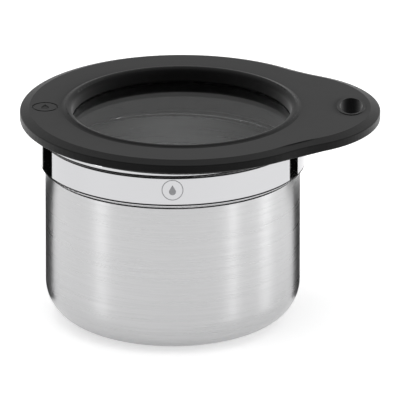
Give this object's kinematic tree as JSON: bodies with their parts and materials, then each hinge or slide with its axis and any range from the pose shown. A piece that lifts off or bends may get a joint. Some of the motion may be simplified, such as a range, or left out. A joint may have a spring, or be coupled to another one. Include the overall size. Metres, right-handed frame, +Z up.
{
  "type": "lidded storage canister",
  "caption": "Round stainless-steel storage canister with a loose silicone-rimmed glass lid and a hanging tab.",
  "frame": {"origin": "centre of the flat base, on the surface the canister stands on", "axes": "+Z up along the container's axis; +X towards the lid's tab and its hanging hole"},
  "size_m": [0.1356, 0.1216, 0.0831],
  "materials": {
    "steel": "brushed around the body, mirror-polished on the collar and the rolled rim",
    "silicone": "matte black moulded silicone",
    "glass": "clear tempered glass, polished"
  },
  "bodies": {
    "container": {"container": "steel"},
    "lid": {"lid_rim": "silicone", "lid_glass": "glass"}
  },
  "joints": [
    {"name": "lid_lift", "type": "slide", "parent": "container", "child": "lid", "axis": [0, 0, 1], "range_m": [0, 0.12]}
  ]
}
